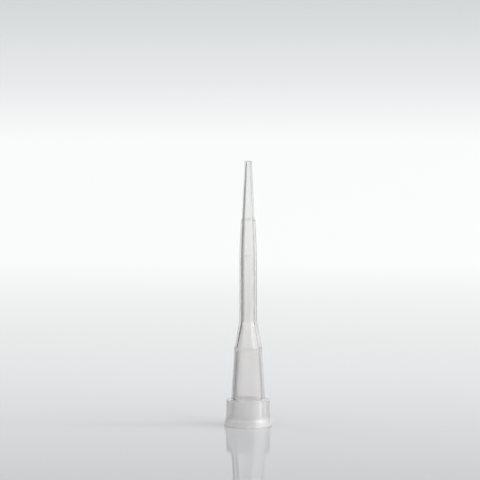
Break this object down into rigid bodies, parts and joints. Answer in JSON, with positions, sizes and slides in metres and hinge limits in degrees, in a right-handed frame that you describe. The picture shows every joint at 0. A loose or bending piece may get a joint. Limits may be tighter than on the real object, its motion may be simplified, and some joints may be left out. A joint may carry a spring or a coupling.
{
  "type": "pipette tip",
  "caption": "Clear one-piece micro pipette tip: a slender stepped tube with a fine orifice, a tapered socket bore, and a smooth collar with a flared foot that it stands on.",
  "frame": {"origin": "centre of the foot's flat underside, where the socket opens", "axes": "+Z along the tip's axis, from the foot up to the fine end; X and Y are alike, because the tip is round"},
  "size_m": [0.0056, 0.0056, 0.0313],
  "materials": {
    "clear_plastic": "clear, smooth moulded, faintly hazy"
  },
  "bodies": {
    "root": {"pipette_tip": "clear_plastic"}
  },
  "joints": []
}
